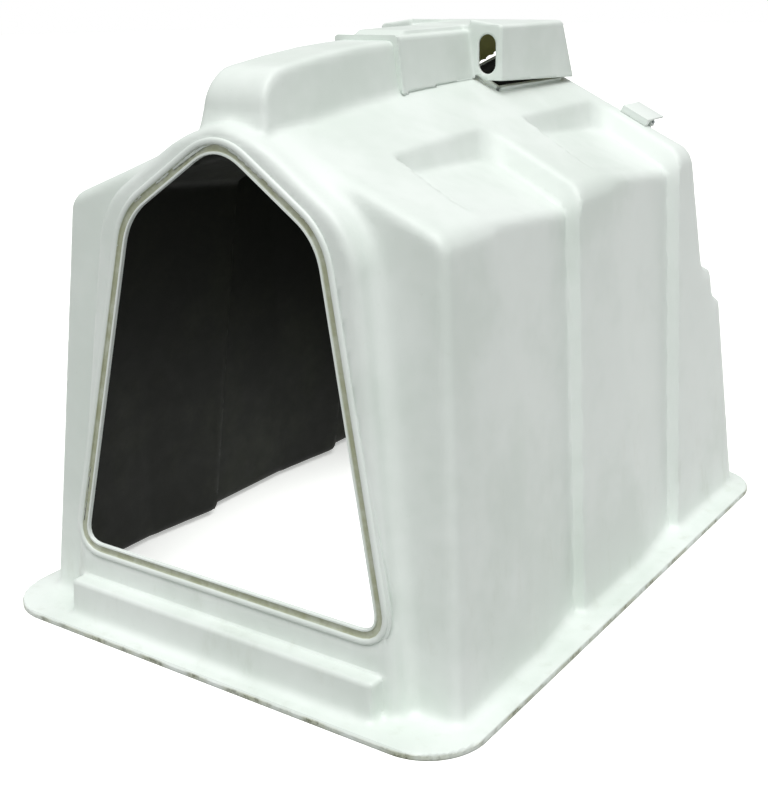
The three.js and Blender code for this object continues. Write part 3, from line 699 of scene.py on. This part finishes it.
def bevelled_box(bm, low, high, radius, place=Matrix.Identity(4)):
    """A box between two corners with its edges rounded."""
    size = [b - a for a, b in zip(low, high)]
    middle = [(a + b) / 2 for a, b in zip(low, high)]
    matrix = place @ Matrix.Translation(middle) @ Matrix.Diagonal((*size, 1))
    cube = bmesh.ops.create_cube(bm, size=1, matrix=matrix)
    edges = list({edge for vert in cube["verts"] for edge in vert.link_edges})
    bmesh.ops.bevel(
        bm, geom=edges, offset=radius, affect="EDGES", segments=3, profile=0.5, material=-1)


def door_ring(bm, inset, rise):
    """A rounded rectangle in the door's plane, as a closed ring of edges."""
    radius = max(DOOR["corner"] - inset, 0.012)
    across = DOOR["half"] - inset - radius
    middle = (DOOR["top"] + DOOR["low"]) / 2
    along = (DOOR["top"] - DOOR["low"]) / 2 - inset - radius
    points = []
    for quarter, (right, up) in enumerate(((1, 1), (-1, 1), (-1, -1), (1, -1))):
        for step in range(9):
            angle = (quarter + step / 8) * math.pi / 2
            points.append((
                right * across + radius * math.cos(angle),
                DOOR_GAP - STAND_OFF + rise,
                middle + up * along + radius * math.sin(angle)))
    return ring_of(bm, points)


def door_skin():
    """The door's skirt, face and raised panel as one open skin."""
    bm = bmesh.new()
    rise = DOOR["rise"]
    panel = DOOR["panel"]
    section = [
        (0.0, 0.0), (0.0, rise - 0.007), (0.0008, rise - 0.0035), (0.003, rise - 0.001),
        (0.007, rise), (panel - 0.004, rise), (panel - 0.001, rise + 0.0008),
        (panel + 0.002, rise + 0.0035), (panel + 0.005, rise + 0.0055),
        (panel + 0.009, rise + 0.006),
    ]
    rings = [door_ring(bm, inset, height) for inset, height in section]
    for near, far in zip(rings, rings[1:]):
        bmesh.ops.bridge_loops(bm, edges=near + far)
    bmesh.ops.contextual_create(bm, geom=rings[-1])
    bmesh.ops.recalc_face_normals(bm, faces=bm.faces[:])
    outer = [face for face in bm.faces if len(face.verts) > 4]
    if outer[0].normal.y < 0:
        bmesh.ops.reverse_faces(bm, faces=bm.faces[:])
    return bm


def add_lug(bm, side):
    """The barrel on the hinge pin, and the web that carries the door from it."""
    x = side * HINGE_X
    barrel = Matrix.Translation((x, 0, 0)) @ Matrix.Rotation(math.pi / 2, 4, "Y")
    bmesh.ops.create_cone(
        bm, cap_ends=True, segments=32, radius1=LUG["radius"], radius2=LUG["radius"],
        depth=LUG["width"], matrix=barrel)
    face = DOOR_GAP - STAND_OFF + DOOR["rise"]
    bevelled_box(
        bm, (x - LUG["width"] / 2, face - 0.012, DOOR["top"] - 0.02),
        (x + LUG["width"] / 2, 0.004, 0.0), 0.002)


def bracket_place(side):
    """Where a bracket's tab lies: on the roof over the hinge, tilted with it."""
    depth = BRACKET["front"] + BRACKET["foot"] / 2
    tilt = side * math.atan(float(roof_slope(depth)))
    height = float(roof_height(HINGE_X, depth))
    return (
        Matrix.Translation((side * HINGE_X, depth + FRONT_EDGE, height))
        @ Matrix.Rotation(tilt, 4, "Y")
    )


def build_bracket(side):
    """A tab screwed to the roof's rear edge, with two ears for the hinge pin."""
    bm = bmesh.new()
    place = bracket_place(side)
    half = BRACKET["half"]
    foot = BRACKET["foot"]
    rise = BRACKET["rise"]
    bevelled_box(
        bm, (-half, -foot / 2, rise), (half, BRACKET["length"] - foot / 2, rise + BRACKET["plate"]),
        0.0016, place)
    bevelled_box(bm, (-half, -foot / 2, 0.0004), (half, foot / 2, rise + 0.001), 0.001, place)
    reach = LUG["width"] / 2 + BRACKET["ear_gap"] + BRACKET["ear"] / 2
    for end in (-1, 1):
        x = side * HINGE_X + end * reach
        top = float(roof_height(abs(x), BRACKET["front"])) + rise
        depth = HINGE["depth"] + FRONT_EDGE
        bevelled_box(
            bm, (x - BRACKET["ear"] / 2, depth - BRACKET["ear_front"],
                 HINGE["height"] - BRACKET["ear_below"]),
            (x + BRACKET["ear"] / 2, depth + BRACKET["ear_rear"], top), 0.001)
    return bm


# ---- materials ----


def linear(hex_colour):
    """An sRGB hex colour as linear red, green, blue and alpha."""
    value = int(hex_colour.lstrip("#"), 16)
    channels = [((value >> shift) & 255) / 255 for shift in (16, 8, 0)]
    return [c / 12.92 if c <= 0.04045 else ((c + 0.055) / 1.055) ** 2.4 for c in channels] + [1.0]


def add(tree, kind, settings=None, **inputs):
    """Adds a node, sets its settings, and sets or links each input by name or number."""
    made = tree.nodes.new(kind)
    for name, value in (settings or {}).items():
        setattr(made, name, value)
    for name, value in inputs.items():
        key = int(name[1:]) if name[0] == "_" else name.replace("_", " ")
        socket = made.inputs[key]
        if isinstance(value, bpy.types.NodeSocket):
            tree.links.new(value, socket)
        else:
            socket.default_value = value
    return made


def new_material(name):
    """An empty material: itself, its node tree, its shader and the place on the object."""
    material = bpy.data.materials.new(name)
    material.use_nodes = True
    tree = material.node_tree
    tree.nodes.clear()
    shader = add(tree, "ShaderNodeBsdfPrincipled")
    output = add(tree, "ShaderNodeOutputMaterial")
    tree.links.new(shader.outputs["BSDF"], output.inputs["Surface"])
    place = add(tree, "ShaderNodeTexCoord").outputs["Object"]
    return material, tree, shader, place


def noise(tree, place, size, detail=3.0, roughness=0.55, stretch=(1, 1, 1)):
    """Noise whose blotches are about size metres across."""
    scaled = add(tree, "ShaderNodeMapping", Vector=place, Scale=stretch)
    made = add(
        tree, "ShaderNodeTexNoise", Vector=scaled.outputs["Vector"], Scale=1 / size, Detail=detail,
        Roughness=roughness)
    return made.outputs["Fac"]


def between(tree, value, low, high):
    """A value stretched from low..high to 0..1 and clipped."""
    made = add(
        tree, "ShaderNodeMapRange", {"interpolation_type": "SMOOTHSTEP"}, Value=value,
        From_Min=low, From_Max=high)
    return made.outputs["Result"]


def coat(tree, shader, colour, texture, low, high):
    """Sets the colour, and a roughness that a texture spreads from low to high."""
    tree.links.new(colour, shader.inputs["Base Color"])
    rough = add(tree, "ShaderNodeMapRange", Value=texture, To_Min=low, To_Max=high)
    tree.links.new(rough.outputs["Result"], shader.inputs["Roughness"])


def emboss(tree, shader, texture, strength, distance):
    """Raises a texture on the surface as a bump."""
    bump = add(tree, "ShaderNodeBump", Height=texture, Strength=strength, Distance=distance)
    tree.links.new(bump.outputs["Normal"], shader.inputs["Normal"])


def product(tree, first, second):
    made = add(tree, "ShaderNodeMath", {"operation": "MULTIPLY"}, _0=first, _1=second)
    return made.outputs["Value"]


def mixed(tree, factor, first, second):
    """Two colours mixed by a factor."""
    made = add(
        tree, "ShaderNodeMix", {"data_type": "RGBA"}, _0=factor, _6=first, _7=second)
    return made.outputs[2]


def formed_polyethylene(name, light, shade, grime_and_low_tone, groove=None):
    """Thermoformed polyethylene: satin, faintly uneven from the mould, and a little soiled.

    The sheet is drawn over its mould, which leaves a broad waviness and a fine orange peel.
    Streaky grey darkens the walls towards the foot, soil stains the cut edge of the flange, and a
    groove colour, where given, paints shade with some dirt into the rim's groove.
    """
    material, tree, shader, place = new_material(name)
    height = add(tree, "ShaderNodeSeparateXYZ", Vector=place).outputs["Z"]
    clouds = between(tree, noise(tree, place, 0.35, 4, 0.6), 0.38, 0.66)
    colour = mixed(tree, clouds, linear(light), linear(shade))
    # Streaks that make the walls darker towards the bottom, fading out by 0.55 m up.
    streaks = between(tree, noise(tree, place, 0.05, 5, 0.65, (1, 1, 0.35)), 0.52, 0.80)
    low_walls = between(tree, height, 0.55, 0.0)
    darker_towards_foot = product(tree, product(tree, streaks, low_walls), 0.24)
    colour = mixed(tree, darker_towards_foot, colour, linear(grime_and_low_tone))
    specks = between(tree, noise(tree, place, 0.012, 6, 0.7), 0.60, 0.72)
    colour = mixed(tree, product(tree, specks, 0.09), colour, linear(grime_and_low_tone))
    edge = between(tree, height, 0.0125, 0.0085)
    patches = between(tree, noise(tree, place, 0.020, 6, 0.72), 0.47, 0.60)
    stain = mixed(tree, patches, linear("#B7BCA8"), linear("#74785F"))
    soiled = product(tree, edge, between(tree, noise(tree, place, 0.09, 3), 0.36, 0.60))
    colour = mixed(tree, soiled, colour, stain)
    # Painted shade in the rim's groove, with uneven dirt: where the groove attribute marks the
    # floor, the colour goes most of the way to the groove colour.
    if groove:
        held = add(tree, "ShaderNodeAttribute", {"attribute_name": "groove"}).outputs["Fac"]
        uneven = between(tree, noise(tree, place, 0.03, 4, 0.6), 0.25, 0.65)
        groove_shade_and_dirt = add(
            tree, "ShaderNodeMath", {"operation": "MULTIPLY_ADD"}, _0=uneven, _1=0.35, _2=0.62)
        colour = mixed(tree, product(tree, held, groove_shade_and_dirt.outputs["Value"]), colour, linear(groove))
    coat(tree, shader, colour, noise(tree, place, 0.06, 4), 0.34, 0.50)
    shader.inputs["IOR"].default_value = 1.51
    waves = add(
        tree, "ShaderNodeBump", Height=noise(tree, place, 0.16, 2), Strength=0.5, Distance=0.004)
    peel = add(
        tree, "ShaderNodeBump", Height=noise(tree, place, 0.0035, 2), Strength=0.25,
        Distance=0.0004, Normal=waves.outputs["Normal"])
    tree.links.new(peel.outputs["Normal"], shader.inputs["Normal"])
    return material


def dark_polyethylene(name, deep, dusty):
    """The black inner layer of the sheet: matt, with a film of pale dust and hoof scuffs."""
    material, tree, shader, place = new_material(name)
    dust = between(tree, noise(tree, place, 0.22, 5, 0.65), 0.42, 0.75)
    colour = mixed(tree, dust, linear(deep), linear(dusty))
    specks = between(tree, noise(tree, place, 0.010, 5, 0.7), 0.60, 0.75)
    colour = mixed(tree, product(tree, specks, 0.35), colour, linear(dusty))
    coat(tree, shader, colour, noise(tree, place, 0.05, 3), 0.5, 0.7)
    shader.inputs["IOR"].default_value = 1.51
    shader.inputs["Specular IOR Level"].default_value = 0.2
    emboss(tree, shader, noise(tree, place, 0.02, 3), 0.3, 0.0015)
    return material


def moulded_polypropylene(name, base, worn):
    """Black injection-moulded polypropylene: fine spark texture, rubbed paler in patches."""
    material, tree, shader, place = new_material(name)
    rubbed = between(tree, noise(tree, place, 0.014, 4, 0.6), 0.50, 0.75)
    colour = mixed(tree, rubbed, linear(base), linear(worn))
    coat(tree, shader, colour, noise(tree, place, 0.008, 3), 0.42, 0.62)
    shader.inputs["IOR"].default_value = 1.49
    emboss(tree, shader, noise(tree, place, 0.0012, 2), 0.35, 0.0002)
    return material


def zinc_plated_steel(name, bright, dull):
    """Zinc-plated steel: cool grey metal with cloudy dulling and fine turning marks."""
    material, tree, shader, place = new_material(name)
    clouds = between(tree, noise(tree, place, 0.006, 4, 0.65), 0.35, 0.70)
    colour = mixed(tree, clouds, linear(bright), linear(dull))
    shader.inputs["Metallic"].default_value = 1.0
    coat(tree, shader, colour, noise(tree, place, 0.003, 3), 0.30, 0.52)
    emboss(tree, shader, noise(tree, place, 0.0010, 2), 0.2, 0.0001)
    return material


def studio_floor(name, pale, shade):
    """Painted studio floor: matt and pale, with a barely uneven coat and a faint glow."""
    material, tree, shader, place = new_material(name)
    colour = mixed(tree, noise(tree, place, 1.2, 3), linear(pale), linear(shade))
    tree.links.new(colour, shader.inputs["Base Color"])
    shader.inputs["Roughness"].default_value = 0.9
    tree.links.new(colour, shader.inputs["Emission Color"])
    shader.inputs["Emission Strength"].default_value = 0.5
    return material


# ---- settings ----


def length_property(name, description, default):
    return bpy.props.FloatProperty(
        name=name, description=description, default=default, min=0.0, unit="LENGTH", precision=4)


class HutchSheetSettings(bpy.types.PropertyGroup):
    """Thickness of the formed sheets."""

    shell: length_property("Shell sheet", "Thickness of the shell's sheet", 0.006)
    cap: length_property("Cap sheet", "Thickness of the vent cap's sheet", 0.005)
    door: length_property("Door sheet", "Thickness of the bedding door's sheet", 0.005)


class HutchRimSettings(bpy.types.PropertyGroup):
    """Section of the rim swept round the doorway."""

    bead_height: length_property("Bead height", "How far the bead stands proud", 0.005)
    bead_width: length_property("Bead width", "Width of the bead across its foot", 0.013)
    groove_depth: length_property("Groove depth", "Depth of the groove inside the bead", 0.003)


class HutchStageSettings(bpy.types.PropertyGroup):
    """Camera and lights."""

    lens: bpy.props.FloatProperty(
        name="Lens", description="Focal length for a 36 mm high frame", default=57.84, min=10,
        subtype="DISTANCE_CAMERA")
    ambient: bpy.props.FloatProperty(
        name="Ambient", description="Brightness of the light from all round", default=0.45, min=0)
    key: bpy.props.FloatProperty(
        name="Key light", description="Brightness of the soft light from above", default=2.1, min=0)


# ---- operators ----

FINISHES = {}


class HUTCH_OT_finishes(bpy.types.Operator):
    """Makes the materials"""

    bl_idname = "hutch.finishes"
    bl_label = "Make finishes"

    def execute(self, context):
        white = ("#EAF1EC", "#DEE7E0", "#B4BBA8")
        FINISHES["white"] = formed_polyethylene("formed_polyethylene_white", *white)
        # The rim's groove colour is painted shade with some dirt.
        FINISHES["rim"] = formed_polyethylene(
            "formed_polyethylene_rim", *white, groove="#A4A88A")
        FINISHES["inner"] = dark_polyethylene("polyethylene_inner_layer", "#12140F", "#24271E")
        # Painted glow and shade on the cap's underside: the olive stands for light coming through
        # the white sheet into its shade, not a colour of the plastic.
        FINISHES["olive"] = formed_polyethylene(
            "polyethylene_cap_underside_painted_glow", "#B9B972", "#A6A661", "#6A6B40")
        FINISHES["dark_fitting"] = moulded_polypropylene(
            "moulded_polypropylene_black", "#23241F", "#3A3B35")
        FINISHES["steel"] = zinc_plated_steel("zinc_plated_steel", "#C3C7CA", "#8F9497")
        for name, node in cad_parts.items():
            if name.startswith(("latch_post", "latch_button")):
                finish = FINISHES["dark_fitting"]
            elif "screw" in name or "pin" in name:
                finish = FINISHES["steel"]
            else:
                finish = FINISHES["white"]
            node.data.materials.clear()
            node.data.materials.append(finish)
        return {"FINISHED"}


class HUTCH_OT_shell(bpy.types.Operator):
    """Builds the formed shell with its flange and openings"""

    bl_idname = "hutch.shell"
    bl_label = "Build shell"

    def execute(self, context):
        skins = [FINISHES["white"], FINISHES["inner"]]
        shell = finished(build_shell(), "formed_shell", skins, "hutch", "shell")
        thicken(shell, context.scene.hutch_sheet.shell)
        return {"FINISHED"}


class HUTCH_OT_doorway_rim(bpy.types.Operator):
    """Sweeps the lip, groove and bead round the doorway"""

    bl_idname = "hutch.doorway_rim"
    bl_label = "Build doorway rim"

    def execute(self, context):
        size = context.scene.hutch_rim
        rim = build_doorway_rim(
            size.bead_height, size.bead_width, size.groove_depth, context.scene.hutch_sheet.shell)
        finished(rim, "doorway_rim", [FINISHES["rim"]], "hutch")
        return {"FINISHED"}


class HUTCH_OT_vent_cap(bpy.types.Operator):
    """Builds the sliding ridge vent cap"""

    bl_idname = "hutch.vent_cap"
    bl_label = "Build vent cap"

    def execute(self, context):
        # The cap's inner side takes the painted olive glow and shade.
        skins = [FINISHES["white"], FINISHES["olive"]]
        cap = finished(build_cap(), "vent_cap_skin", skins, "vent_cap", "ridge_vent_cap")
        thicken(cap, context.scene.hutch_sheet.cap)
        finished(build_curb(), "vent_curb", skins[:1], "hutch")
        return {"FINISHED"}


class HUTCH_OT_bedding_door(bpy.types.Operator):
    """Builds the rear bedding door with its two hinge lugs"""

    bl_idname = "hutch.bedding_door"
    bl_label = "Build bedding door"

    def execute(self, context):
        skins = [FINISHES["white"], FINISHES["inner"]]
        bm = door_skin()
        bm.transform(REAR_WALL)
        door = finished(bm, "bedding_door_skin", skins, "rear_door", "rear_door")
        thicken(door, context.scene.hutch_sheet.door)
        lugs = bmesh.new()
        for side in (-1, 1):
            add_lug(lugs, side)
        lugs.transform(REAR_WALL)
        finished(lugs, "bedding_door_lugs", skins[:1], "rear_door")
        return {"FINISHED"}


class HUTCH_OT_brackets(bpy.types.Operator):
    """Builds the two hinge brackets"""

    bl_idname = "hutch.brackets"
    bl_label = "Build hinge brackets"

    def execute(self, context):
        for name, side in (("left", -1), ("right", 1)):
            finished(
                build_bracket(side), f"bracket_{name}", [FINISHES["white"]], "hutch",
                f"hinge_bracket_{name}")
        return {"FINISHED"}


class HUTCH_OT_stage(bpy.types.Operator):
    """Lays the floor and sets the lights and the camera"""

    bl_idname = "hutch.stage"
    bl_label = "Set stage"

    def execute(self, context):
        stage = context.scene.hutch_stage
        lay_floor()
        light_stage(stage.ambient, stage.key)
        place_camera(stage.lens)
        return {"FINISHED"}


# ---- floor, lights and camera ----

CAMERA_AT = (1.6335, -2.4729, 1.3728)
CAMERA_TURN = {"yaw": 34.62, "pitch": 18.63, "roll": -0.94}  # degrees
CAMERA_SHIFT = (-0.0084, 0.0027)
FLOOR_RADIUS = 30
SKY = {  # below and above are shares of ambient, and seen is what the camera sees
    "below": 0.5, "above": 1.2, "fade": 0.3, "seen": 1.0,
}
KEY = {"towards": (-0.24, 0.29, -0.926), "angle": 50}
INSIDE = {"size": (0.5, 0.9), "at": (0, 0, 0.85), "watts": 4, "spread": 100}


def lay_floor():
    """A wide disc that sends no diffuse light back, so it doesn't wash out the walls."""
    bm = bmesh.new()
    bmesh.ops.create_circle(bm, cap_ends=True, segments=96, radius=FLOOR_RADIUS)
    mesh = bpy.data.meshes.new("floor")
    bm.to_mesh(mesh)
    bm.free()
    mesh.materials.append(studio_floor("studio_floor_paint", "#F5F6F4", "#EFF1EE"))
    floor = placed("floor", mesh)
    floor.visible_diffuse = False


def light_stage(ambient, key):
    """The lights: a graded sky, a broad key and a weak lamp inside the hutch.

    The sky is brighter above than below, and plain white where the camera sees it.
    """
    world = bpy.data.worlds.new("studio")
    world.use_nodes = True
    background = world.node_tree.nodes["Background"]
    background.inputs["Color"].default_value = linear("#FFFFFF")
    aim = add(world.node_tree, "ShaderNodeTexCoord").outputs["Generated"]
    up = add(world.node_tree, "ShaderNodeSeparateXYZ", _0=aim).outputs["Z"]
    sky = add(
        world.node_tree, "ShaderNodeMapRange", Value=up, From_Min=-SKY["fade"],
        From_Max=SKY["fade"], To_Min=ambient * SKY["below"], To_Max=ambient * SKY["above"])
    seen = add(world.node_tree, "ShaderNodeLightPath").outputs["Is Camera Ray"]
    strength = add(
        world.node_tree, "ShaderNodeMix", _0=seen, _2=sky.outputs["Result"], _3=SKY["seen"])
    world.node_tree.links.new(strength.outputs[0], background.inputs["Strength"])
    bpy.context.scene.world = world
    sun = bpy.data.lights.new("key", "SUN")
    sun.energy = key
    sun.angle = math.radians(KEY["angle"])
    lamp = placed("key", sun)
    lamp.rotation_euler = Vector(KEY["towards"]).to_track_quat("-Z", "Y").to_euler()
    inside = bpy.data.lights.new("inside", "AREA")
    inside.shape = "RECTANGLE"
    inside.size, inside.size_y = INSIDE["size"]
    inside.energy = INSIDE["watts"]
    inside.spread = math.radians(INSIDE["spread"])
    hung = placed("inside", inside)
    hung.location = INSIDE["at"]
    hung.visible_camera = False


def place_camera(lens):
    """Sets the camera at eye height, turned by its yaw, pitch and roll."""
    yaw, pitch, roll = (math.radians(CAMERA_TURN[turn]) for turn in ("yaw", "pitch", "roll"))
    back = Vector((
        math.sin(yaw) * math.cos(pitch), -math.cos(yaw) * math.cos(pitch), math.sin(pitch)))
    level = Vector((0, 0, 1)).cross(back).normalized()
    upright = back.cross(level)
    right = level * math.cos(roll) + upright * math.sin(roll)
    up = upright * math.cos(roll) - level * math.sin(roll)
    turn = Matrix((right, up, back)).transposed().to_4x4()
    data = bpy.data.cameras.new("camera")
    data.sensor_fit = "VERTICAL"
    data.sensor_height = 36
    data.lens = lens
    data.shift_x, data.shift_y = CAMERA_SHIFT
    camera = placed("camera", data)
    camera.matrix_world = Matrix.Translation(CAMERA_AT) @ turn
    bpy.context.scene.camera = camera
    bpy.context.scene.view_settings.view_transform = "Standard"


# ---- panel and registration ----


class HUTCH_PT_panel(bpy.types.Panel):
    """Lists the settings and the steps"""

    bl_idname = "HUTCH_PT_panel"
    bl_label = "Calf Hutch"
    bl_space_type = "VIEW_3D"
    bl_region_type = "UI"
    bl_category = "Calf Hutch"

    def draw(self, context):
        for group in SETTINGS:
            settings = getattr(context.scene, group)
            for name in settings.bl_rna.properties.keys():
                if name not in ("name", "rna_type"):
                    self.layout.prop(settings, name)
        for step in STEPS:
            self.layout.operator(step.bl_idname)


SETTINGS = {
    "hutch_sheet": HutchSheetSettings,
    "hutch_rim": HutchRimSettings,
    "hutch_stage": HutchStageSettings,
}
STEPS = (
    HUTCH_OT_finishes,
    HUTCH_OT_shell,
    HUTCH_OT_doorway_rim,
    HUTCH_OT_vent_cap,
    HUTCH_OT_bedding_door,
    HUTCH_OT_brackets,
    HUTCH_OT_stage,
)


def register():
    for kind in (*SETTINGS.values(), *STEPS, HUTCH_PT_panel):
        bpy.utils.register_class(kind)
    for name, group in SETTINGS.items():
        setattr(bpy.types.Scene, name, bpy.props.PointerProperty(type=group))


def unregister():
    for name in SETTINGS:
        delattr(bpy.types.Scene, name)
    for kind in reversed((*SETTINGS.values(), *STEPS, HUTCH_PT_panel)):
        bpy.utils.unregister_class(kind)


def main():
    register()
    for step in STEPS:
        area, name = step.bl_idname.split(".")
        getattr(getattr(bpy.ops, area), name)()


if __name__ == "__main__":
    main()
